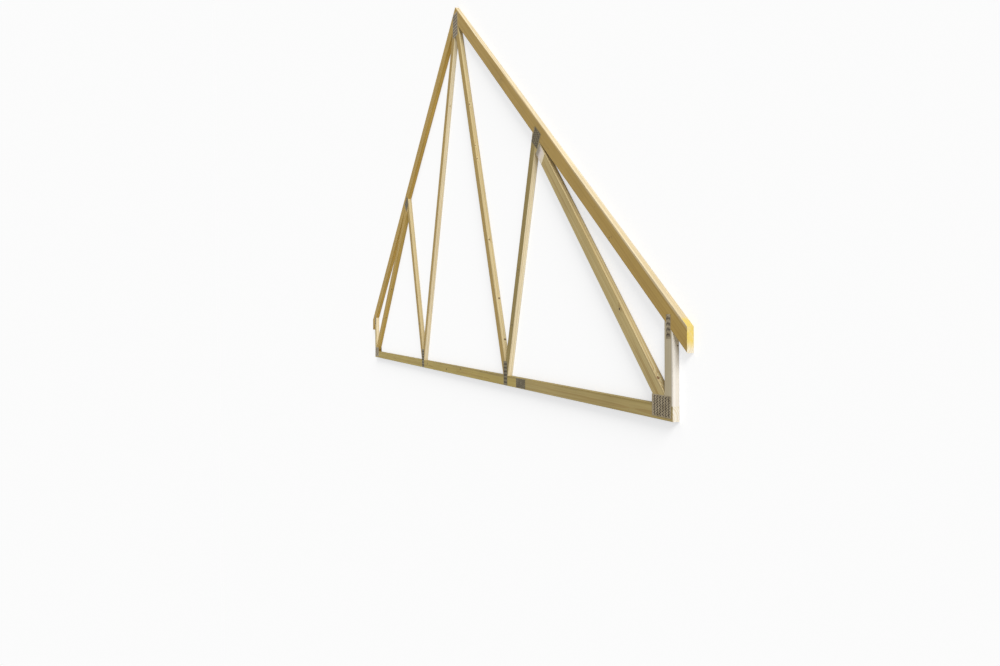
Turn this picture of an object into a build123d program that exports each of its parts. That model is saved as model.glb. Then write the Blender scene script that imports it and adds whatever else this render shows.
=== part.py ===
from build123d import *
from math import cos, radians, tan
import os

# Wooden roof truss of the raised-heel Fink pattern, lying flat on its back face.
# X runs along the span, Y from the bottom chord up to the apex, Z through the timber.
# The origin is at mid-span, half way up to the apex, on the floor. Sizes are in mm.

# Outline of the truss
span = 6600  # over the outer faces of the two heel posts
roof_pitch = 37  # slope of the rafters, in degrees
heel_height = 536  # underside of the bottom chord to top of the rafter, at the post's outer face
overhang = 120  # rafter tail beyond the post, measured level

# Sawn and planed timber, all of one thickness
timber_thickness = 35
rafter_depth = 97
bottom_chord_depth = 72
web_depth = 72
diagonal_depth = 84
post_depth = 72
arris_radius = 2.5
sawing_allowance = 150  # extra length of each board beyond its joints, sawn off in place

# Joints, measured on the right half
node_place = 1113  # mid-span to the line where two webs butt above the bottom chord
web_toe = 45  # length of each web's foot on the bottom chord
apex_butt = 74  # length of the butt between the two long webs, under the rafters
middle_joint = 1695  # mid-span to where the short web's outer edge meets the rafter
diagonal_butt = 85  # length of the butt between the diagonal and the short web
diagonal_toe = 62  # length of the diagonal's foot on the bottom chord
splice_place = 1400  # mid-span to the joint in the bottom chord

# Punched nail plates, pressed flush on both faces
plate_thickness = 1
slot_length = 12
slot_width = 4
slot_pitch = 25.4  # from slot to slot along a column
slot_shift = 6.35  # every other column lies this much further along
column_pitch = 15  # from column to column
plate_margin = 3  # least metal between a slot and the plate's edge

# Nail plate sizes: across the slots, then along them
apex_plate = (125, 190)
middle_plate = (103, 117)
node_plate = (72, 170)
heel_plate = (105, 173)
post_plate = (38, 114)
splice_plate = (64, 165)

# Nail plate places
apex_plate_drop = 50  # apex down to the plate's top edge
node_plate_margin = 2  # bottom chord's underside up to the plate's edge
heel_plate_margin = 13  # bottom chord's underside up to the plate's edge
heel_plate_setback = 12  # post's outer face in to the plate's edge

half_span = span / 2
rise = tan(radians(roof_pitch))
truss_height = heel_height + half_span * rise
underside = -truss_height / 2
chord_top = underside + bottom_chord_depth
apex = truss_height / 2
rafter_foot_depth = rafter_depth / cos(radians(roof_pitch))  # rafter depth measured plumb
timber_back = plate_thickness
timber_front = timber_back + timber_thickness
tail_end = half_span + overhang


def rafter_underside(across):
    """Height of the rafters' lower edge at a distance from mid-span."""
    return apex - rafter_foot_depth - abs(across) * rise


def towards(start, end):
    """Unit direction from one point to another."""
    return (end - start).normalized()


def saw_cut(through, along, timber_side):
    """Plane of a saw cut square to the truss face, its normal towards the wood that stays."""
    normal = Vector(-along.Y, along.X)
    if normal.dot(timber_side - through) < 0:
        normal = -normal
    return Plane(origin=through, z_dir=normal)


def save(piece, name):
    """Label a finished piece and write it."""
    piece.part.label = name
    export_step(piece.part, f"parts/{name}.step")


def save_mirrored(piece, name):
    """The same piece on the left half of the truss."""
    with BuildPart() as left_piece:
        mirror(piece.part, about=Plane.YZ)
    save(left_piece, name)


def board(start, end, depth, cuts):
    """Board whose lower edge runs from start to end, with its depth to the left of that way.

    Its long arrises are rounded, and each saw cut takes off what lies behind its plane.
    """
    along = towards(start, end)
    blank_end = start - along * sawing_allowance
    blank = Plane(origin=(blank_end.X, blank_end.Y, timber_back), x_dir=along, z_dir=(0, 0, 1))
    blank_length = (end - start).length + 2 * sawing_allowance
    with BuildPart() as timber:
        with BuildSketch(blank):
            Rectangle(blank_length, depth, align=(Align.MIN, Align.MIN))
        extrude(amount=timber_thickness)
        fillet(timber.edges().filter_by(Axis((0, 0, 0), along)), radius=arris_radius)
        for cut in cuts:
            split(bisect_by=cut, keep=Keep.TOP)
    return timber


def nail_plate(centre, size, turn, back):
    """Punched plate on a joint, its slots along its own Y, turned about its centre."""
    width, height = size
    columns = int((width - 2 * plate_margin - slot_width) // column_pitch) + 1
    rows = int((height - 2 * plate_margin - slot_length - slot_shift) // slot_pitch) + 1
    face = Plane(origin=(centre.X, centre.Y, back)).rotated((0, 0, turn))
    with BuildPart() as plate:
        with BuildSketch(face):
            Rectangle(width, height)
            for column in range(columns):
                across = (column - (columns - 1) / 2) * column_pitch
                shift = slot_shift / 2 if column % 2 else -slot_shift / 2
                with Locations((across, shift)):
                    with GridLocations(column_pitch, slot_pitch, 1, rows):
                        Rectangle(slot_width, slot_length, mode=Mode.SUBTRACT)
        extrude(amount=plate_thickness)
    return plate


os.makedirs("parts", exist_ok=True)

# Lines and points that the boards share, all on the right half
along_span = Vector(1, 0)
plumb = Vector(0, 1)
down_rafter = Vector(1, -rise).normalized()
ridge_underside = Vector(0, rafter_underside(0))
tail_underside = Vector(tail_end, rafter_underside(tail_end))
web_crotch = Vector(0, rafter_underside(0) - apex_butt)
node = Vector(node_place, chord_top)
long_web_foot = Vector(node_place - web_toe, chord_top)
short_web_foot = Vector(node_place + web_toe, chord_top)
middle = Vector(middle_joint, rafter_underside(middle_joint))
up_short_web = towards(short_web_foot, middle)
diagonal_head = middle - up_short_web * diagonal_butt
diagonal_foot = Vector(half_span - post_depth - diagonal_toe, chord_top)
post_foot = Vector(half_span, chord_top)
post_inner = Vector(half_span - post_depth, chord_top)
post_head = Vector(half_span, rafter_underside(half_span))
inside = Vector(half_span / 2, chord_top + web_depth)  # a point that webs and posts lie above

# Saw cuts, each named for the line it follows
cut_on_chord = saw_cut(node, along_span, inside)
cut_under_rafter = saw_cut(ridge_underside, down_rafter, node)
cut_at_mid_span = saw_cut(ridge_underside, plumb, node)
cut_at_tail = saw_cut(tail_underside, plumb, node)
cut_before_node = saw_cut(node, plumb, web_crotch)
cut_after_node = saw_cut(node, plumb, post_foot)
cut_on_short_web = saw_cut(middle, up_short_web, post_foot)
cut_on_post = saw_cut(post_inner, plumb, node)

# Bottom chord, in two lengths that butt at the splice
left_end = Vector(-half_span, underside)
splice = Vector(splice_place, underside)
right_end = Vector(half_span, underside)
splice_cut_long = saw_cut(splice, plumb, left_end)
splice_cut_short = saw_cut(splice, plumb, right_end)
left_end_cut = saw_cut(left_end, plumb, splice)
right_end_cut = saw_cut(right_end, plumb, splice)
long_cuts = [left_end_cut, splice_cut_long]
short_cuts = [splice_cut_short, right_end_cut]
save(board(left_end, splice, bottom_chord_depth, long_cuts), "bottom_chord_long")
save(board(splice, right_end, bottom_chord_depth, short_cuts), "bottom_chord_short")

# Timbers that come in pairs, made on the right and mirrored to the left
rafter_cuts = [cut_at_mid_span, cut_at_tail]
long_web_cuts = [cut_on_chord, cut_before_node, cut_at_mid_span, cut_under_rafter]
short_web_cuts = [cut_on_chord, cut_after_node, cut_under_rafter]
diagonal_cuts = [cut_on_chord, cut_on_post, cut_on_short_web, cut_under_rafter]
post_cuts = [cut_on_chord, cut_under_rafter]
paired_boards = {
    "rafter": board(ridge_underside, tail_underside, rafter_depth, rafter_cuts),
    "long_web": board(web_crotch, long_web_foot, web_depth, long_web_cuts),
    "short_web": board(short_web_foot, middle, web_depth, short_web_cuts),
    "diagonal": board(diagonal_head, diagonal_foot, diagonal_depth, diagonal_cuts),
    "heel_post": board(post_foot, post_head, post_depth, post_cuts),
}
for name, timber in paired_boards.items():
    save(timber, f"{name}_right")
    save_mirrored(timber, f"{name}_left")

# Places of the nail plates, as centre, size and turn in degrees
apex_centre = Vector(0, apex - apex_plate_drop - apex_plate[1] / 2)
node_centre = Vector(node_place, underside + node_plate_margin + node_plate[1] / 2)
heel_centre = Vector(
    half_span - heel_plate_setback - heel_plate[1] / 2,
    underside + heel_plate_margin + heel_plate[0] / 2,
)
post_centre_across = half_span - post_depth / 2
post_plate_centre = Vector(post_centre_across, rafter_underside(post_centre_across))
splice_centre = Vector(splice_place, underside + bottom_chord_depth / 2)
single_plates = {
    "apex_plate": (apex_centre, apex_plate, 0),
    "splice_plate": (splice_centre, splice_plate, 90),
}
paired_plates = {
    "middle_plate": (middle, middle_plate, 90 - roof_pitch),
    "node_plate": (node_centre, node_plate, 0),
    "heel_plate": (heel_centre, heel_plate, 90),
    "post_plate": (post_plate_centre, post_plate, 0),
}
plate_faces = {"back": timber_back - plate_thickness, "front": timber_front}

for face_name, height_above_floor in plate_faces.items():
    for name, (centre, size, turn) in single_plates.items():
        plate = nail_plate(centre, size, turn, height_above_floor)
        save(plate, f"{name}_{face_name}")
    for name, (centre, size, turn) in paired_plates.items():
        plate = nail_plate(centre, size, turn, height_above_floor)
        save(plate, f"{name}_right_{face_name}")
        save_mirrored(plate, f"{name}_left_{face_name}")
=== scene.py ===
from collections import namedtuple
from math import atan2, cos, pi, radians, sin

import bmesh
import bpy
from mathutils import Matrix, Vector


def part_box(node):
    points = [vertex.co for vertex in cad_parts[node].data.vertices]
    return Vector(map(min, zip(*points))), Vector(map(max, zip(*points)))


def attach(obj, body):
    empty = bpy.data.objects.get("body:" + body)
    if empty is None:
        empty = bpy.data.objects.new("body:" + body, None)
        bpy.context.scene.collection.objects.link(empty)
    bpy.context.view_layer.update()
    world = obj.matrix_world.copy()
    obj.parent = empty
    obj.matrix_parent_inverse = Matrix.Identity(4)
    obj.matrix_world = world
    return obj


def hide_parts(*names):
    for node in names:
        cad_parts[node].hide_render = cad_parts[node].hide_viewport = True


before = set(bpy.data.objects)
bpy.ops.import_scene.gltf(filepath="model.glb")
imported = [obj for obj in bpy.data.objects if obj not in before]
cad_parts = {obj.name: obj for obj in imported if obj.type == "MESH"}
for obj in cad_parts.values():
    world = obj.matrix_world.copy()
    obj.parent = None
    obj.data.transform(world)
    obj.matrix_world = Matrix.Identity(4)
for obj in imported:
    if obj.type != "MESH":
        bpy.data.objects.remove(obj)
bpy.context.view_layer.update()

# A raised-heel roof truss of planed softwood, lying flat on its back face on a pale floor.
# Metres, in the frame of the CAD model: X along the span, Y up to the apex, Z through the timber.

MM = 0.001

# Nail plates, as they are punched
slot_length = 12 * MM
slot_width = 4.8 * MM  # real ones are 3 to 4 mm wide, drawn wider so that they show
slot_pitch = 25.4 * MM  # from slot to slot along a column
slot_shift = 6.35 * MM  # every other column lies this much further along
column_pitch = 6.35 * MM  # from column to column
plate_margin = 3 * MM  # least metal between a slot and the plate's edge
slot_floor = 0.12 * MM  # height of a slot's floor over the timber's face, where a near-black floor stands for the slot's shade
root_radius = 0.85 * MM  # curl of the teeth's roots at both ends of a slot
root_segments = 2

# Blank paper label
label_length = 120 * MM
label_width = 78 * MM
label_thickness = 0.15 * MM
label_glue = 0.05 * MM
label_lift = 0.6 * MM  # how far the corners have come away
label_lift_bend = 6  # how suddenly they turn up
label_grid = (16, 10)
label_below_joint = 128 * MM  # from the middle of the rafter joint, down the diagonal

# Sockets of a Mix node that mixes colours
COLOUR_A, COLOUR_B, COLOUR_OUT = 6, 7, 2

# Material slots of a nail plate
ZINC, SHEARED_SIDES, PAINTED_SHADE_FLOOR = 0, 1, 2

square_on = 0.9  # a face looks along an axis where its normal has more than this of it
half_level = 0.5  # a board's wide faces have more than this of Z in their normals
hardly = 0.01  # less than this of an axis in a normal counts as none

Lie = namedtuple("Lie", "angle middle size")


def linear(hex_colour):
    """Linear colour for a shader, from an sRGB hex value."""
    channels = [int(hex_colour[place:place + 2], 16) / 255 for place in (1, 3, 5)]
    bent = [c / 12.92 if c <= 0.04045 else ((c + 0.055) / 1.055) ** 2.4 for c in channels]
    return (*bent, 1)


def add(tree, kind, settings=None, links=None):
    """A shader node with its settings and with what feeds it, a socket or a node's first output."""
    node = tree.nodes.new("ShaderNode" + kind)
    for key, value in (settings or {}).items():
        if isinstance(key, str) and hasattr(node, key):
            setattr(node, key, value)
        else:
            node.inputs[key].default_value = value
    for key, source in (links or {}).items():
        socket = source.outputs[0] if isinstance(source, bpy.types.Node) else source
        tree.links.new(socket, node.inputs[key])
    return node


def emptied_tree(owner):
    """The node tree of a material or world, with nothing in it."""
    owner.use_nodes = True
    owner.node_tree.nodes.clear()
    return owner.node_tree


def new_material(name, settings):
    """A material with one Principled shader, as the material, its tree and that shader."""
    material = bpy.data.materials.new(name)
    tree = emptied_tree(material)
    shader = add(tree, "BsdfPrincipled", settings)
    add(tree, "OutputMaterial", None, {"Surface": shader})
    return material, tree, shader


def new_object(name, mesh, materials):
    """An object of a finished bmesh, linked to the scene."""
    data = bpy.data.meshes.new(name)
    mesh.to_mesh(data)
    mesh.free()
    for material in materials:
        data.materials.append(material)
    piece = bpy.data.objects.new(name, data)
    bpy.context.scene.collection.objects.link(piece)
    return piece


def board_lie(node):
    """How a board lies: its grain's angle, and its middle and size along, across and through it."""
    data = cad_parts[node].data
    edge_faces = [face for face in data.polygons if abs(face.normal.z) < half_level]
    normal = max(edge_faces, key=lambda face: face.area).normal
    if normal.y < -hardly or (abs(normal.y) < hardly and normal.x < 0):
        normal = -normal
    angle = atan2(normal.y, normal.x) - pi / 2
    upright = Matrix.Rotation(-angle, 3, "Z")
    turned = [upright @ vertex.co for vertex in data.vertices]
    low = Vector([min(point[axis] for point in turned) for axis in range(3)])
    high = Vector([max(point[axis] for point in turned) for axis in range(3)])
    return Lie(angle, (low + high) / 2, high - low)


# Tones of planed spruce: sapwood from near white to yellow, heartwood from pale grey to brown
# The next two tones carry painted light. The first is the right heel post's pale sapwood made near
# white. The second is a copy of cream made brighter. Both stand for edges that catch a strong
# light.
chalk_with_painted_light = "#eeebe6"
cream_with_painted_light = "#f4e9cb"
cream = "#eee1c1"
wheat = "#cfc198"
butter = "#e2c572"
amber = "#efcc70"
barley = "#aa9b62"
ash = "#d1c8b0"
sand = "#d6c693"
straw = "#c7ae6d"
honey = "#d0b368"
olive = "#c8b770"
ochre = "#c5a964"
moss = "#a89861"
reed = "#c3b37c"
late_wood_brown = "#a3824a"
streak_shade, streak_light = "#e3d9c2", "#ffffff"
knot_brown, knot_rim_brown = "#74583a", "#33261b"
sawn_pale, arc_tan = "#e3dfd6", "#cfc1a4"
paint_yellow = "#d8c05e"

# How each board was sawn: sapwood and heartwood tones, how far the heartwood reaches from the pith,
# where the pith lies across the board and in front of its middle, in mm, how strongly the growth
# rings show, and a number that gives the board its own knots and streaks
Board = namedtuple("Board", "sapwood heartwood heart_reach pith_across pith_front figure seed")
boards = {
    "rafter_right": Board(cream, ochre, 56, -7, 40, 0.45, 13),
    "rafter_left": Board(amber, honey, 57, 4, 40, 0.6, 2),
    "long_web_right": Board(wheat, straw, 43, -2, 40, 0.6, 3),
    "long_web_left": Board(cream_with_painted_light, straw, 43, 4, 40, 0.6, 4),
    "short_web_right": Board(cream_with_painted_light, moss, 44, 6, 40, 0.4, 5),
    "short_web_left": Board(wheat, straw, 44, -4, 40, 0.6, 6),
    "diagonal_right": Board(wheat, sand, 50, -6, 42, 0.7, 7),
    "diagonal_left": Board(butter, honey, 48, 4, 40, 0.6, 8),
    "heel_post_right": Board(chalk_with_painted_light, ash, 40, -8, 40, 0.1, 9),
    "heel_post_left": Board(cream, sand, 44, 6, 40, 0.5, 10),
    "bottom_chord_long": Board(barley, olive, 46, -8, 42, 0.6, 11),
    "bottom_chord_short": Board(barley, reed, 46, -10, 42, 0.6, 12),
}
seed_step = 7.3  # from one board's patterns to the next's, in metres along the grain

# Growth rings and the pith that they lie round
ring_width = 11 * MM  # rings are 2 to 4 mm wide, drawn coarser so that they show on a 6.8 m truss
late_wood_start, late_wood_full, ring_end = 0.3, 0.92, 0.93  # as shares of a ring
faint_ring, strong_ring = 0.2, 0.9  # how strongly rings show where the figure is full
season_run = 22 * MM  # runs of good and poor years, counted out from the pith
season_sway = 30 * MM
pith_wander = 20 * MM
wander_run = 909 * MM
wander_width = 143 * MM
pith_lean = (0, radians(0.1), radians(0.15))

# Heartwood, streaks, patches and fibres
heart_waver = 20 * MM
heart_fade = 7 * MM
painted_light_on_edges = 0.8  # share of the heartwood's darker tone taken off the narrow edges, as painted light: the edges paler than the wide faces, as where light falls on them
patch_size = 455 * MM
darkest_patch = 0.88
streak_width = 18 * MM
streak_run = 1400 * MM
least_streaked = 0.4  # how strongly streaks show on a board with no figure
fibre_width = 2.4 * MM  # fibres are finer than a hair, drawn coarser so that they show
fibre_run = 110 * MM
darkest_fibre = 0.9
fibre_relief = 0.5  # beside the relief of a ring
wood_relief = 0.25 * MM

# Sawn ends: how square to the grain a face is where the sawn look starts and is whole, how far
# it covers the planed one, and how strongly the arcs of the rings show
sawn_start, sawn_whole, sawn_cover = 0.3, 0.45, 0.9
sawn_arcs = 0.8

# Knots: how far apart along a board, how wide a strip they lie in, and the largest radius
Knots = namedtuple("Knots", "spacing strip radius")
face_knots = Knots(330 * MM, 62 * MM, 12 * MM)
pin_knots = Knots(145 * MM, 70 * MM, 3.6 * MM)
edge_knots = Knots(410 * MM, 26 * MM, 9 * MM)
knots_missing = 0.3  # share of the places that stay without a knot
knots_small = 1.7  # how many more are small than large
knot_rim = 1.4 * MM
knot_ease = 0.45  # grain parts over a stretch longer than the knot is wide, by this share
knot_halo = 3.2  # how far round a knot the grain is moved, in radii
knot_push = 1.6  # how far the grain is moved at the knot, in radii

# Knots where the photograph shows them, from a board's middle along it and across its face or
# through its edge, and their radius, in mm
Knot = namedtuple("Knot", "side along across radius")
seen_knots = {
    "rafter_right": (Knot("face", -806, 0, 6), Knot("face", 1240, -30, 5)),
    "long_web_right": (
        Knot("edge", -700, 14, 7), Knot("edge", -328, 13, 6), Knot("edge", -212, 12, 6),
        Knot("edge", 476, 8, 6), Knot("edge", 946, -5, 8), Knot("edge", 1262, -6, 8),
    ),
    "short_web_right": (Knot("face", -460, -4, 8), Knot("face", -66, 4, 7)),
    "diagonal_right": (Knot("face", 460, 20, 8), Knot("edge", 955, 12, 10)),
}

# Yellow paint on the end of the right rafter
end_paint_reach = 60 * MM  # from the top corner of the end, back along the rafter's top edge
end_paint_fade = 30 * MM
end_paint_waver = 30 * MM
end_paint_bare = 2 * MM  # height over the end's lowest point where the paint has all but run out
end_paint_whole = 60 * MM  # height over it from where the coat is whole
thinnest_paint = 0.14
brushed_paint = 0.72  # least cover in a brush mark


def around_knot(tree, run, beside, size):
    """A knot's own tone, how near its rim a place is, and how far it pushes the grain aside."""
    offset = add(tree, "CombineXYZ", None, {"X": run, "Y": beside})
    away = add(tree, "VectorMath", {"operation": "LENGTH"}, {0: offset}).outputs["Value"]
    eased = add(tree, "VectorMath", {"operation": "MULTIPLY", 1: (knot_ease, 1, 1)}, {0: offset})
    away_eased = add(tree, "VectorMath", {"operation": "LENGTH"}, {0: eased}).outputs["Value"]
    core = add(tree, "Math", {"operation": "SUBTRACT", 1: knot_rim}, {0: size})
    mask = add(
        tree, "MapRange", {"interpolation_type": "SMOOTHSTEP", "To Min": 1, "To Max": 0},
        {"Value": away, "From Min": core, "From Max": size},
    )
    rim = add(
        tree, "MapRange", {"interpolation_type": "SMOOTHSTEP"}, {"Value": away, "From Max": size},
    )
    reach = add(tree, "Math", {"operation": "MULTIPLY", 1: knot_halo}, {0: size})
    halo = add(
        tree, "MapRange", {"interpolation_type": "SMOOTHSTEP", "To Min": 1, "To Max": 0},
        {"Value": away_eased, "From Max": reach},
    )
    push = add(tree, "Math", {"operation": "MULTIPLY"}, {0: halo, 1: size})
    return mask, rim, push


def chance_knots(tree, along, across, kind):
    """Knots down a board by chance, of one kind."""
    stretch = add(tree, "Math", {"operation": "DIVIDE", 1: kind.spacing}, {0: along})
    cell = add(
        tree, "TexVoronoi", {"voronoi_dimensions": "1D", "Scale": 1, "Randomness": 0.5},
        {"W": stretch},
    )
    chance = add(tree, "SeparateColor", None, {"Color": cell.outputs["Color"]})
    steps = add(tree, "Math", {"operation": "SUBTRACT"}, {0: stretch, 1: cell.outputs["W"]})
    run = add(tree, "Math", {"operation": "MULTIPLY", 1: kind.spacing}, {0: steps})
    side = add(
        tree, "MapRange", {"To Min": -kind.strip / 2, "To Max": kind.strip / 2}, {"Value": chance},
    )
    beside = add(tree, "Math", {"operation": "SUBTRACT"}, {0: across, 1: side})
    share = add(
        tree, "MapRange", {"From Min": knots_missing}, {"Value": chance.outputs["Green"]},
    )
    few_large = add(tree, "Math", {"operation": "POWER", 1: knots_small}, {0: share})
    size = add(tree, "Math", {"operation": "MULTIPLY", 1: kind.radius}, {0: few_large})
    return around_knot(tree, run, beside, size)


def seen_knot(tree, along, across, knot):
    """One knot at its own place on a board."""
    run = add(tree, "Math", {"operation": "SUBTRACT", 1: knot.along * MM}, {0: along})
    beside = add(tree, "Math", {"operation": "SUBTRACT", 1: knot.across * MM}, {0: across})
    size = add(tree, "Math", {"operation": "MULTIPLY", 0: knot.radius, 1: MM})
    return around_knot(tree, run, beside, size)


def board_knots(tree, node, lie, seeded, on_face, on_edge):
    """All knots of a board: their tone, how near their rims, and their push on the grain.

    Pin knots lie on every face. The larger ones lie where the photograph shows them, and by chance
    on the boards where it shows none.
    """
    run, across, through = add(tree, "SeparateXYZ", None, {"Vector": lie}).outputs
    along = add(tree, "SeparateXYZ", None, {"Vector": seeded}).outputs["X"]
    found = [(chance_knots(tree, along, across, pin_knots), on_face)]
    if node in seen_knots:
        for knot in seen_knots[node]:
            aside, where = (across, on_face) if knot.side == "face" else (through, on_edge)
            found.append((seen_knot(tree, run, aside, knot), where))
    else:
        found.append((chance_knots(tree, along, across, face_knots), on_face))
        found.append((chance_knots(tree, along, through, edge_knots), on_edge))
    tone = near_rim = push = None
    for (mask, rim, shove), where in found:
        mask = add(tree, "Math", {"operation": "MULTIPLY"}, {0: mask, 1: where})
        shove = add(tree, "Math", {"operation": "MULTIPLY"}, {0: shove, 1: where})
        if tone is None:
            tone, near_rim, push = mask, rim, shove
            continue
        tone = add(tree, "Math", {"operation": "MAXIMUM"}, {0: tone, 1: mask})
        near_rim = add(tree, "Math", {"operation": "MINIMUM"}, {0: near_rim, 1: rim})
        push = add(tree, "Math", {"operation": "MAXIMUM"}, {0: push, 1: shove})
    return tone, near_rim, push


def growth_rings(tree, board, lie, seeded, push):
    """Rings round a pith that wanders and leans: the distance from it, the late wood, the rings."""
    wander_scale = (1 / wander_run, 1 / wander_width, 1 / wander_width)
    slow = add(tree, "VectorMath", {"operation": "MULTIPLY", 1: wander_scale}, {0: seeded})
    wander = add(tree, "TexNoise", {"Scale": 1, "Detail": 2}, {"Vector": slow})
    bent = add(
        tree, "VectorMath", {"operation": "MULTIPLY_ADD", 1: (0, pith_wander, pith_wander)},
        {0: wander.outputs["Color"], 2: lie},
    )
    middle_wander = pith_wander / 2
    pith = (0, -board.pith_across * MM - middle_wander, -board.pith_front * MM - middle_wander)
    about_pith = add(tree, "Mapping", {"Location": pith, "Rotation": pith_lean}, {"Vector": bent})
    square_to_grain = add(
        tree, "VectorMath", {"operation": "MULTIPLY", 1: (0, 1, 1)}, {0: about_pith},
    )
    radius = add(tree, "VectorMath", {"operation": "LENGTH"}, {0: square_to_grain}).outputs["Value"]
    seasons = add(
        tree, "TexNoise", {"noise_dimensions": "1D", "Scale": 1 / season_run, "Detail": 1},
        {"W": radius},
    )
    uneven = add(
        tree, "Math", {"operation": "MULTIPLY_ADD", 1: season_sway}, {0: seasons, 2: radius},
    )
    parted = add(tree, "Math", {"operation": "MULTIPLY_ADD", 1: knot_push}, {0: push, 2: uneven})
    years = add(tree, "Math", {"operation": "DIVIDE", 1: ring_width}, {0: parted})
    season = add(tree, "Math", {"operation": "FRACT"}, {0: years})
    year = add(tree, "Math", {"operation": "FLOOR"}, {0: years})
    darkening = add(
        tree, "MapRange",
        {"interpolation_type": "SMOOTHSTEP", "From Min": late_wood_start,
         "From Max": late_wood_full},
        {"Value": season},
    )
    winter = add(
        tree, "MapRange",
        {"interpolation_type": "SMOOTHSTEP", "From Min": ring_end, "To Min": 1, "To Max": 0},
        {"Value": season},
    )
    late = add(tree, "Math", {"operation": "MULTIPLY"}, {0: darkening, 1: winter})
    chance = add(tree, "TexWhiteNoise", {"noise_dimensions": "1D"}, {"W": year})
    strength = add(
        tree, "MapRange",
        {"To Min": faint_ring * board.figure, "To Max": strong_ring * board.figure},
        {"Value": chance},
    )
    rings = add(tree, "Math", {"operation": "MULTIPLY"}, {0: late, 1: strength})
    return radius, late, rings


def streaks_and_fibres(tree, seeded):
    """Soft streaks and fine fibres along the grain."""
    streak_scale = (1 / streak_run, 1 / streak_width, 1 / streak_width)
    long_way = add(tree, "VectorMath", {"operation": "MULTIPLY", 1: streak_scale}, {0: seeded})
    streaks = add(
        tree, "TexNoise", {"Scale": 1, "Detail": 3, "Roughness": 0.6}, {"Vector": long_way},
    )
    fibre_scale = (1 / fibre_run, 1 / fibre_width, 1 / fibre_width)
    fine_way = add(tree, "VectorMath", {"operation": "MULTIPLY", 1: fibre_scale}, {0: seeded})
    fibres = add(tree, "TexNoise", {"Scale": 1, "Detail": 2}, {"Vector": fine_way})
    return streaks, fibres


def planed_colour(tree, board, seeded, on_edge, radius, rings, streaks, fibres):
    """Colour of planed wood: sapwood and heartwood, with lines, streaks, patches and fibres, and
    the narrow edges painted paler as light falls on them.
    """
    heart_edge = add(
        tree, "Math", {"operation": "MULTIPLY_ADD", 1: heart_waver}, {0: streaks, 2: radius},
    )
    heart_reach = board.heart_reach * MM + heart_waver / 2
    heart = add(
        tree, "MapRange",
        {"interpolation_type": "SMOOTHSTEP", "From Min": heart_reach - heart_fade,
         "From Max": heart_reach + heart_fade, "To Min": 1, "To Max": 0},
        {"Value": heart_edge},
    )
    # Painted light: the narrow edges lose most of the heartwood's darker tone, so they read lit and
    # the wide faces shaded.
    painted_edge_light = add(tree, "Math", {"operation": "MULTIPLY_ADD", 1: -painted_light_on_edges, 2: 1}, {0: on_edge})
    heart_with_painted_edge_light = add(tree, "Math", {"operation": "MULTIPLY"}, {0: heart, 1: painted_edge_light})
    sapwood, heartwood = linear(board.sapwood), linear(board.heartwood)
    wood = add(
        tree, "Mix", {"data_type": "RGBA", COLOUR_A: sapwood, COLOUR_B: heartwood},
        {0: heart_with_painted_edge_light},
    )
    ringed = add(
        tree, "Mix", {"data_type": "RGBA", COLOUR_B: linear(late_wood_brown)},
        {0: rings, COLOUR_A: wood.outputs[COLOUR_OUT]},
    )
    streak_tone = add(tree, "ValToRGB", None, {"Fac": streaks})
    ramp = streak_tone.color_ramp.elements
    ramp[0].position, ramp[0].color = 0.3, linear(streak_shade)
    ramp[1].position, ramp[1].color = 0.7, linear(streak_light)
    streaked_by = least_streaked + (1 - least_streaked) * board.figure
    streaked = add(
        tree, "Mix", {"data_type": "RGBA", "blend_type": "MULTIPLY", 0: streaked_by},
        {COLOUR_A: ringed.outputs[COLOUR_OUT], COLOUR_B: streak_tone},
    )
    patches = add(tree, "TexNoise", {"Scale": 1 / patch_size, "Detail": 3}, {"Vector": seeded})
    patch_tone = add(
        tree, "MapRange", {"From Min": 0.3, "From Max": 0.7, "To Min": darkest_patch},
        {"Value": patches},
    )
    fibre_tone = add(
        tree, "MapRange", {"From Min": 0.25, "From Max": 0.75, "To Min": darkest_fibre},
        {"Value": fibres},
    )
    tone = add(tree, "Math", {"operation": "MULTIPLY"}, {0: patch_tone, 1: fibre_tone})
    return add(
        tree, "VectorMath", {"operation": "SCALE"},
        {0: streaked.outputs[COLOUR_OUT], "Scale": tone},
    )


def sawn_ends(tree, place, angle, late, planed):
    """Freshly sawn ends are paler than planed wood, with the arcs of the rings on them."""
    along_grain = add(
        tree, "VectorMath", {"operation": "DOT_PRODUCT", 1: (cos(angle), sin(angle), 0)},
        {0: place.outputs["Normal"]},
    ).outputs["Value"]
    facing = add(tree, "Math", {"operation": "ABSOLUTE"}, {0: along_grain})
    sawn = add(
        tree, "MapRange",
        {"interpolation_type": "SMOOTHSTEP", "From Min": sawn_start, "From Max": sawn_whole,
         "To Max": sawn_cover},
        {"Value": facing},
    )
    arcs = add(tree, "Math", {"operation": "MULTIPLY", 1: sawn_arcs}, {0: late})
    end_wood = add(
        tree, "Mix",
        {"data_type": "RGBA", COLOUR_A: linear(sawn_pale), COLOUR_B: linear(arc_tan)}, {0: arcs},
    )
    return add(
        tree, "Mix", {"data_type": "RGBA"},
        {0: sawn, COLOUR_A: planed, COLOUR_B: end_wood.outputs[COLOUR_OUT]},
    )


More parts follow.
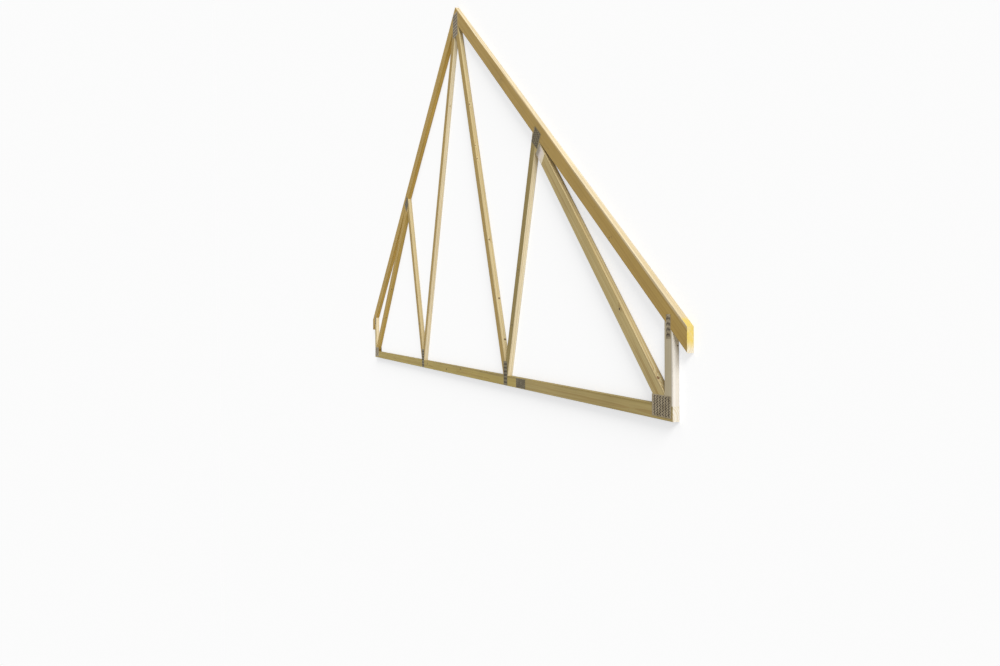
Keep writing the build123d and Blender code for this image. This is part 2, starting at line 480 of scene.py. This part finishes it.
def softwood(node, board):
    """Planed spruce: growth rings about a pith beside the board, knots, soft streaks and fibres.

    The eye sees pale cream wood with straight darker lines that swing round small brown knots,
    arcs of rings on sawn ends, and a dull surface with a slight silk along the grain.
    """
    material, tree, shader = new_material(
        f"planed_spruce_{node}", {"IOR": 1.5, "Specular IOR Level": 0.25},
    )
    angle, middle, _ = board_lie(node)
    place = add(tree, "TexCoord")
    lie = add(
        tree, "Mapping", {"Location": -middle, "Rotation": (0, 0, -angle)},
        {"Vector": place.outputs["Object"]},
    )
    own_part = (board.seed * seed_step, 0, 0)
    seeded = add(tree, "VectorMath", {"operation": "ADD", 1: own_part}, {0: lie})
    normal = add(tree, "SeparateXYZ", None, {"Vector": place.outputs["Normal"]})
    upright = add(tree, "Math", {"operation": "ABSOLUTE"}, {0: normal.outputs["Z"]})
    on_face = add(tree, "Math", {"operation": "GREATER_THAN", 1: half_level}, {0: upright})
    on_edge = add(tree, "Math", {"operation": "SUBTRACT", 0: 1}, {1: on_face})

    knot, near_rim, push = board_knots(tree, node, lie, seeded, on_face, on_edge)
    radius, late, rings = growth_rings(tree, board, lie, seeded, push)
    streaks, fibres = streaks_and_fibres(tree, seeded)
    planed = planed_colour(tree, board, seeded, on_edge, radius, rings, streaks, fibres)
    knot_colour = add(
        tree, "Mix",
        {"data_type": "RGBA", COLOUR_A: linear(knot_brown), COLOUR_B: linear(knot_rim_brown)},
        {0: near_rim},
    )
    knotted = add(
        tree, "Mix", {"data_type": "RGBA"},
        {0: knot, COLOUR_A: planed, COLOUR_B: knot_colour.outputs[COLOUR_OUT]},
    )
    ended = sawn_ends(tree, place, angle, late, knotted.outputs[COLOUR_OUT])
    finish = ended.outputs[COLOUR_OUT]
    if node == "rafter_right":
        finish = end_paint(tree, place, lie, streaks, finish)
    tree.links.new(finish, shader.inputs["Base Color"])

    # Slight silk on the fibres, and ridges of rings and fibres
    dull = add(tree, "MapRange", {"To Min": 0.55, "To Max": 0.75}, {"Value": fibres})
    tree.links.new(dull.outputs[0], shader.inputs["Roughness"])
    relief = add(
        tree, "Math", {"operation": "MULTIPLY_ADD", 1: fibre_relief}, {0: fibres, 2: rings},
    )
    bump = add(tree, "Bump", {"Strength": 0.5, "Distance": wood_relief}, {"Height": relief})
    tree.links.new(bump.outputs[0], shader.inputs["Normal"])
    return material


def end_paint(tree, place, lie, streaks, wood):
    """Yellow paint dabbed on the rafter's plumb end and the last of its top edge."""
    low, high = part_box("rafter_right")
    angle, middle, size = board_lie("rafter_right")
    upright = Matrix.Rotation(-angle, 3, "Z")
    top_corner = upright @ Vector((high.x, low.y + size.y / cos(angle), 0)) - middle
    along = add(tree, "SeparateXYZ", None, {"Vector": lie})
    ragged = add(
        tree, "Math", {"operation": "MULTIPLY_ADD", 1: end_paint_waver}, {0: streaks, 2: along},
    )
    start = top_corner.x - end_paint_reach
    reach = add(
        tree, "MapRange",
        {"interpolation_type": "SMOOTHSTEP", "From Min": start, "From Max": start + end_paint_fade},
        {"Value": ragged},
    )
    normal = add(tree, "SeparateXYZ", None, {"Vector": place.outputs["Normal"]})
    facing = add(tree, "Math", {"operation": "ABSOLUTE"}, {0: normal.outputs["Z"]})
    edges_only = add(
        tree, "MapRange", {"From Min": 0.3, "From Max": 0.8, "To Min": 1, "To Max": 0},
        {"Value": facing},
    )
    height = add(tree, "SeparateXYZ", None, {"Vector": place.outputs["Object"]})
    thin = add(
        tree, "MapRange",
        {"interpolation_type": "SMOOTHSTEP", "From Min": low.y + end_paint_bare,
         "From Max": low.y + end_paint_whole, "To Min": thinnest_paint},
        {"Value": height.outputs["Y"]},
    )
    brushed = add(
        tree, "MapRange", {"From Min": 0.35, "From Max": 0.65, "To Min": brushed_paint},
        {"Value": streaks},
    )
    cover = add(tree, "Math", {"operation": "MULTIPLY"}, {0: reach, 1: edges_only})
    even = add(tree, "Math", {"operation": "MULTIPLY"}, {0: cover, 1: thin})
    coat = add(tree, "Math", {"operation": "MULTIPLY"}, {0: even, 1: brushed})
    painted = add(
        tree, "Mix", {"data_type": "RGBA", COLOUR_B: linear(paint_yellow)},
        {0: coat, COLOUR_A: wood},
    )
    return painted.outputs[COLOUR_OUT]


# Zinc as it is on the plates at the heels and apex, and a darker copy of it on the other plates, as
# painted shade
Zinc = namedtuple("Zinc", "name dark bright film")
fresh_zinc = Zinc("fresh", "#867a63", "#a5987f", "#776a4f")
# A darker copy of the zinc: painted shade on the plates at the middle joints, nodes and splices.
zinc_painted_shade = Zinc("painted_shade_zinc", "#675d42", "#7c7255", "#594f37")
crystal_size = 5 * MM
film_size = 40 * MM
scratch_run = 25 * MM
scratch_width = 1.1 * MM  # real ones are finer, drawn coarser so that they show
scratch_lie = (0, 0, radians(12))
scratch_depth = 0.05 * MM


def galvanised_steel(zinc):
    """Hot-dip galvanised sheet: warm grey zinc in fine crystals, with a film from handling.

    The eye sees a soft mid-grey sheen, a little mottled, with a thin brownish film in places.
    """
    material, tree, shader = new_material(f"galvanised_steel_{zinc.name}", {"Metallic": 1})
    place = add(tree, "TexCoord").outputs["Object"]
    crystals = add(tree, "TexVoronoi", {"Scale": 1 / crystal_size}, {"Vector": place})
    crystal = add(tree, "SeparateColor", None, {"Color": crystals.outputs["Color"]})
    spangle = add(
        tree, "Mix",
        {"data_type": "RGBA", COLOUR_A: linear(zinc.dark), COLOUR_B: linear(zinc.bright)},
        {0: crystal},
    )
    film = add(tree, "TexNoise", {"Scale": 1 / film_size, "Detail": 4}, {"Vector": place})
    filmed = add(
        tree, "MapRange", {"From Min": 0.45, "From Max": 0.7, "To Max": 0.7}, {"Value": film},
    )
    dusty = add(
        tree, "Mix", {"data_type": "RGBA", COLOUR_B: linear(zinc.film)},
        {0: filmed, COLOUR_A: spangle.outputs[COLOUR_OUT]},
    )
    tree.links.new(dusty.outputs[COLOUR_OUT], shader.inputs["Base Color"])
    sheen = add(
        tree, "MapRange", {"To Min": 0.38, "To Max": 0.5}, {"Value": crystal.outputs["Green"]},
    )
    tree.links.new(sheen.outputs[0], shader.inputs["Roughness"])
    scratch_scale = (1 / scratch_run, 1 / scratch_width, 1 / scratch_width)
    scratch_way = add(
        tree, "Mapping", {"Rotation": scratch_lie, "Scale": scratch_scale}, {"Vector": place},
    )
    scratches = add(tree, "TexNoise", {"Scale": 1, "Detail": 2}, {"Vector": scratch_way})
    bump = add(tree, "Bump", {"Strength": 0.3, "Distance": scratch_depth}, {"Height": scratches})
    tree.links.new(bump.outputs[0], shader.inputs["Normal"])
    return material


# What shows inside a slot: its name, roughness, tones, the size and detail of its grain, and how
# strong and deep the grain is
InSlot = namedtuple("InSlot", "name roughness dark light grain detail strength depth")
# Bare steel where the punch sheared a slot's sides, rusted since, and darkened to near black as
# painted shade of the slot: a matt brown-black line
rusted_steel_with_painted_shade = InSlot(
    "rust_and_painted_shade_shear_faces", 0.8, "#14100c", "#2c241c", 1.5 * MM, 2, 0.5, 0.1 * MM,
)
# The bottom of a slot, near black: painted shade of the deep slot, over a faint grain of the spruce
shaded_slot_floor = InSlot(
    "painted_shade_slot_floor", 0.9, "#130e08", "#33261a", 1.2 * MM, 3, 0.8, 0.3 * MM,
)


def in_slot(finish):
    """One of the two dark, grainy surfaces inside a slot, darkened as painted shade."""
    material, tree, shader = new_material(
        finish.name, {"Roughness": finish.roughness, "IOR": 1.5},
    )
    place = add(tree, "TexCoord")
    grain = add(
        tree, "TexNoise", {"Scale": 1 / finish.grain, "Detail": finish.detail},
        {"Vector": place.outputs["Object"]},
    )
    colour = add(
        tree, "Mix",
        {"data_type": "RGBA", COLOUR_A: linear(finish.dark), COLOUR_B: linear(finish.light)},
        {0: grain},
    )
    tree.links.new(colour.outputs[COLOUR_OUT], shader.inputs["Base Color"])
    relief = {"Strength": finish.strength, "Distance": finish.depth}
    bump = add(tree, "Bump", relief, {"Height": grain})
    tree.links.new(bump.outputs[0], shader.inputs["Normal"])
    return material


def slot_columns(width, height):
    """Columns of slots on a plate: where each lies across it, and its slots' middles along it."""
    columns = int((width - 2 * plate_margin - slot_width) // column_pitch) + 1
    rows = int((height - 2 * plate_margin - slot_length - slot_shift) // slot_pitch) + 1
    places = []
    for column in range(columns):
        across = (column - (columns - 1) / 2) * column_pitch
        shift = slot_shift / 2 if column % 2 else -slot_shift / 2
        slots = [(row - (rows - 1) / 2) * slot_pitch + shift for row in range(rows)]
        places.append((across, slots))
    return places


def cut_faces(mesh, faces, point, normal):
    """Cut some faces by a plane, and give the faces that they become."""
    parts = dict.fromkeys(part for face in faces for part in (face, *face.edges, *face.verts))
    cut = bmesh.ops.bisect_plane(mesh, geom=list(parts), plane_co=point, plane_no=normal)
    return [part for part in cut["geom"] if isinstance(part, bmesh.types.BMFace)]


def press_slots(mesh, width, height, thickness):
    """Press the slots into a plate's top, and curl their ends down where the teeth were bent."""
    top = [face for face in mesh.faces if face.normal.z > square_on]
    columns = slot_columns(width, height)
    for across, _ in columns:
        for side in (-slot_width / 2, slot_width / 2):
            top = cut_faces(mesh, top, (across + side, 0, 0), (1, 0, 0))
    cut = []
    for across, slots in columns:
        strip = [
            face for face in top if abs(face.calc_center_median().x - across) < slot_width / 2
        ]
        for up in slots:
            for side in (-slot_length / 2, slot_length / 2):
                strip = cut_faces(mesh, strip, (0, up + side, 0), (0, 1, 0))
        for face in strip:
            if min(abs(face.calc_center_median().y - up) for up in slots) < slot_length / 2:
                cut.append(face)
    pressed = bmesh.ops.extrude_face_region(mesh, geom=cut)["geom"]
    floors = [part for part in pressed if isinstance(part, bmesh.types.BMFace)]
    floor_points = [part for part in pressed if isinstance(part, bmesh.types.BMVert)]
    bmesh.ops.delete(mesh, geom=cut, context="FACES")
    bmesh.ops.translate(mesh, vec=(0, 0, slot_floor - thickness), verts=floor_points)
    bmesh.ops.recalc_face_normals(mesh, faces=mesh.faces)
    walls = dict.fromkeys(
        wall for face in floors for edge in face.edges for wall in edge.link_faces
    )
    for wall in walls:
        # Partly painted shade: the slots' sheared sides are near black, darker than their rust
        # alone.
        wall.material_index = SHEARED_SIDES
    for face in floors:
        # Painted shade: the slot floors get a near-black material where the deep slot would be in
        # shade.
        face.material_index = PAINTED_SHADE_FLOOR
    near_top = thickness * 0.99
    roots = [
        edge for wall in walls if abs(wall.normal.y) > square_on
        for edge in wall.edges if all(vertex.co.z > near_top for vertex in edge.verts)
    ]
    bent = bmesh.ops.bevel(
        mesh, geom=roots, affect="EDGES", offset=root_radius, segments=root_segments,
        profile=0.5, material=-1,
    )
    for face in bent["faces"]:
        face.material_index = ZINC
        face.smooth = True


def punched_plate(name, turn, finishes):
    """A nail plate with staggered slots, in the place of the plain one and as large."""
    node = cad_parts[name]
    low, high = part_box(name)
    centre = (low + high) / 2
    upright = Matrix.Rotation(-turn, 3, "Z")
    corners = [upright @ (vertex.co - centre) for vertex in node.data.vertices]
    width = 2 * max(corner.x for corner in corners)
    height = 2 * max(corner.y for corner in corners)
    thickness = high.z - low.z
    mesh = bmesh.new()
    bmesh.ops.create_cube(mesh, size=1)
    bmesh.ops.scale(mesh, vec=(width, height, thickness), verts=mesh.verts)
    bmesh.ops.translate(mesh, vec=(0, 0, thickness / 2), verts=mesh.verts)
    mesh.normal_update()
    press_slots(mesh, width, height, thickness)
    if name.endswith("back"):
        bmesh.ops.rotate(mesh, matrix=Matrix.Rotation(pi, 3, "Y"), verts=mesh.verts)
        bmesh.ops.translate(mesh, vec=(0, 0, thickness), verts=mesh.verts)
    bmesh.ops.rotate(mesh, matrix=Matrix.Rotation(turn, 3, "Z"), verts=mesh.verts)
    bmesh.ops.translate(mesh, vec=(centre.x, centre.y, low.z), verts=mesh.verts)
    plate = new_object(f"punched_{name}", mesh, finishes)
    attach(plate, "root")
    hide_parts(name)


# Tones down the label, from its top end to its foot, with the share of the way where each is
label_tones = ((0.2, "#938a79"), (0.5, "#e7dddb"), (0.95, "#f0e5ca"))
label_shift = 25 * MM  # how far the tones lie below the label's ends
label_waver_size = 30 * MM
label_waver_sway = 50 * MM
paper_grain = 3 * MM  # paper's fibres are finer, drawn coarser so that they show
paper_relief = 0.05 * MM


def label_paper(angle, centre):
    """Coated label paper, blank: grey at its top end, cool white, creamy at its foot."""
    material, tree, shader = new_material("coated_label_paper", {"Roughness": 0.45, "IOR": 1.5})
    place = add(tree, "TexCoord").outputs["Object"]
    lie = add(
        tree, "Mapping", {"Location": (-centre.x, -centre.y, 0), "Rotation": (0, 0, -angle)},
        {"Vector": place},
    )
    down = add(tree, "SeparateXYZ", None, {"Vector": lie})
    # Noise that makes the bounds between the label's tones uneven
    label_waver = add(tree, "TexNoise", {"Scale": 1 / label_waver_size, "Detail": 3}, {"Vector": place})
    uneven = add(tree, "Math", {"operation": "MULTIPLY_ADD", 1: label_waver_sway}, {0: label_waver, 2: down})
    reach = add(
        tree, "MapRange",
        {"From Min": -label_length / 2 + label_shift, "From Max": label_length / 2 + label_shift},
        {"Value": uneven},
    )
    tone = add(tree, "ValToRGB", None, {"Fac": reach})
    ramp = tone.color_ramp.elements
    top, middle, foot = label_tones
    ramp[0].position, ramp[0].color = top[0], linear(top[1])
    ramp[1].position, ramp[1].color = foot[0], linear(foot[1])
    ramp.new(middle[0]).color = linear(middle[1])
    tree.links.new(tone.outputs[0], shader.inputs["Base Color"])
    grain = add(tree, "TexNoise", {"Scale": 1 / paper_grain, "Detail": 2}, {"Vector": place})
    bump = add(tree, "Bump", {"Strength": 0.3, "Distance": paper_relief}, {"Height": grain})
    tree.links.new(bump.outputs[0], shader.inputs["Normal"])
    return material


def stick_label():
    """A blank label on the diagonal, below the rafter joint, its corners lifting a little."""
    low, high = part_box("middle_plate_right_front")
    angle, middle, size = board_lie("diagonal_right")
    joint = Matrix.Rotation(-angle, 3, "Z") @ ((low + high) / 2)
    lie = Matrix.Rotation(angle, 3, "Z")
    centre = Vector((joint.x + label_below_joint, middle.y, 0))
    label_place = lie @ centre
    label_place.z = middle.z + size.z / 2 + label_glue
    mesh = bmesh.new()
    columns, rows = label_grid
    bmesh.ops.create_grid(mesh, x_segments=columns, y_segments=rows, size=0.5)
    bmesh.ops.scale(mesh, vec=(label_length, label_width, 1), verts=mesh.verts)
    for point in mesh.verts:
        reach = abs(point.co.x) / label_length + abs(point.co.y) / label_width
        point.co.z = label_lift * reach ** label_lift_bend
    bmesh.ops.solidify(mesh, geom=mesh.faces, thickness=-label_thickness)
    bmesh.ops.recalc_face_normals(mesh, faces=mesh.faces)
    bmesh.ops.rotate(mesh, matrix=lie, verts=mesh.verts)
    bmesh.ops.translate(mesh, vec=label_place, verts=mesh.verts)
    label = new_object("paper_label", mesh, (label_paper(angle, centre),))
    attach(label, "root")


def dress_timbers():
    """Give each board its own piece of spruce."""
    for name, board in boards.items():
        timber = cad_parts[name].data
        timber.materials.clear()
        timber.materials.append(softwood(name, board))


def make_plates():
    """Nail plates on both faces of every joint, each with its slots along a timber it holds."""
    inside = (in_slot(rusted_steel_with_painted_shade), in_slot(shaded_slot_floor))
    fresh, painted_shade_zinc = galvanised_steel(fresh_zinc), galvanised_steel(zinc_painted_shade)
    along_rafter = board_lie("rafter_right").angle + pi / 2
    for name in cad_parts:
        if "plate" not in name:
            continue
        turn = 0
        if name.startswith(("splice", "heel")):
            turn = pi / 2
        if name.startswith("middle"):
            turn = along_rafter if "right" in name else -along_rafter
        # The plates at the middle joints, nodes and splices get the darker zinc, as painted shade.
        zinc = painted_shade_zinc if name.startswith(("middle", "node", "splice")) else fresh
        punched_plate(name, turn, (zinc, *inside))


# Camera of the photograph, in the truss's own frame
camera_place = (6.658, -1.0034, 2.123)
camera_turn = (radians(-2.477), radians(69.713), radians(-1.223))
camera_lens = 30.3
sensor_width = 36
camera_sight = 500  # how far it sees, in metres

# Studio: a pale floor, a lamp far off and an even sky
floor_reach = 60
floor_tone = linear("#e6e4e0")
key_strength = 3.0
key_spread = radians(25)
key_from = Vector((0.80, 0.56, 0.21)).normalized()  # the way from the truss to the lamp
key_tone = linear("#fbfcff")
sky_level = 0.5
sky_tone = linear("#fff8e9")
bare_level = 0.97  # how bright the bare floor and the backdrop read, where 1 is white


def set_camera():
    """The camera at the photograph's place and angle."""
    lens = bpy.data.cameras.new("camera")
    lens.lens = camera_lens
    lens.sensor_width = sensor_width
    lens.clip_end = camera_sight
    camera = bpy.data.objects.new("camera", lens)
    camera.location = camera_place
    camera.rotation_euler = camera_turn
    bpy.context.scene.collection.objects.link(camera)
    bpy.context.scene.camera = camera


def seen_directly(tree):
    """One where a surface is seen by the camera, by a gloss or through glass, and else zero."""
    path = add(tree, "LightPath")
    mirrored = add(
        tree, "Math", {"operation": "MAXIMUM"},
        {0: path.outputs["Is Glossy Ray"], 1: path.outputs["Is Transmission Ray"]},
    )
    return add(
        tree, "Math", {"operation": "MAXIMUM"}, {0: path.outputs["Is Camera Ray"], 1: mirrored},
    )


def lay_floor():
    """A plain pale floor that keeps the object's shadow and reads as white where it is bare."""
    mesh = bmesh.new()
    bmesh.ops.create_grid(mesh, x_segments=1, y_segments=1, size=floor_reach)
    material = bpy.data.materials.new("pale_floor_paint")
    tree = emptied_tree(material)
    from_key = key_strength * key_from.z / pi
    fallen = [from_key * key + sky_level * sky for key, sky in zip(key_tone, sky_tone)]
    lift = [bare_level - paint * light for paint, light in zip(floor_tone, fallen)]
    matt = add(tree, "BsdfDiffuse", {"Color": floor_tone})
    glow = add(tree, "Emission", {"Color": (*lift[:3], 1)}, {"Strength": seen_directly(tree)})
    both = add(tree, "AddShader", None, {0: matt, 1: glow})
    add(tree, "OutputMaterial", None, {"Surface": both})
    floor = new_object("floor", mesh, (material,))


def light_studio():
    """An even sky and one broad soft lamp from the heel's side and the top."""
    world = bpy.data.worlds.new("studio")
    bpy.context.scene.world = world
    tree = emptied_tree(world)
    sky = add(tree, "Background", {"Color": sky_tone, "Strength": sky_level})
    backdrop = add(tree, "Background", {"Color": (1, 1, 1, 1), "Strength": bare_level})
    both = add(tree, "MixShader", None, {0: seen_directly(tree), 1: sky, 2: backdrop})
    add(tree, "OutputWorld", None, {"Surface": both})
    lamp = bpy.data.lights.new("key", "SUN")
    lamp.energy = key_strength
    lamp.angle = key_spread
    lamp.color = key_tone[:3]
    key = bpy.data.objects.new("key", lamp)
    key.rotation_euler = key_from.to_track_quat("Z", "Y").to_euler()
    bpy.context.scene.collection.objects.link(key)


set_camera()
lay_floor()
light_studio()
bpy.context.scene.view_settings.view_transform = "Standard"
dress_timbers()
make_plates()
stick_label()
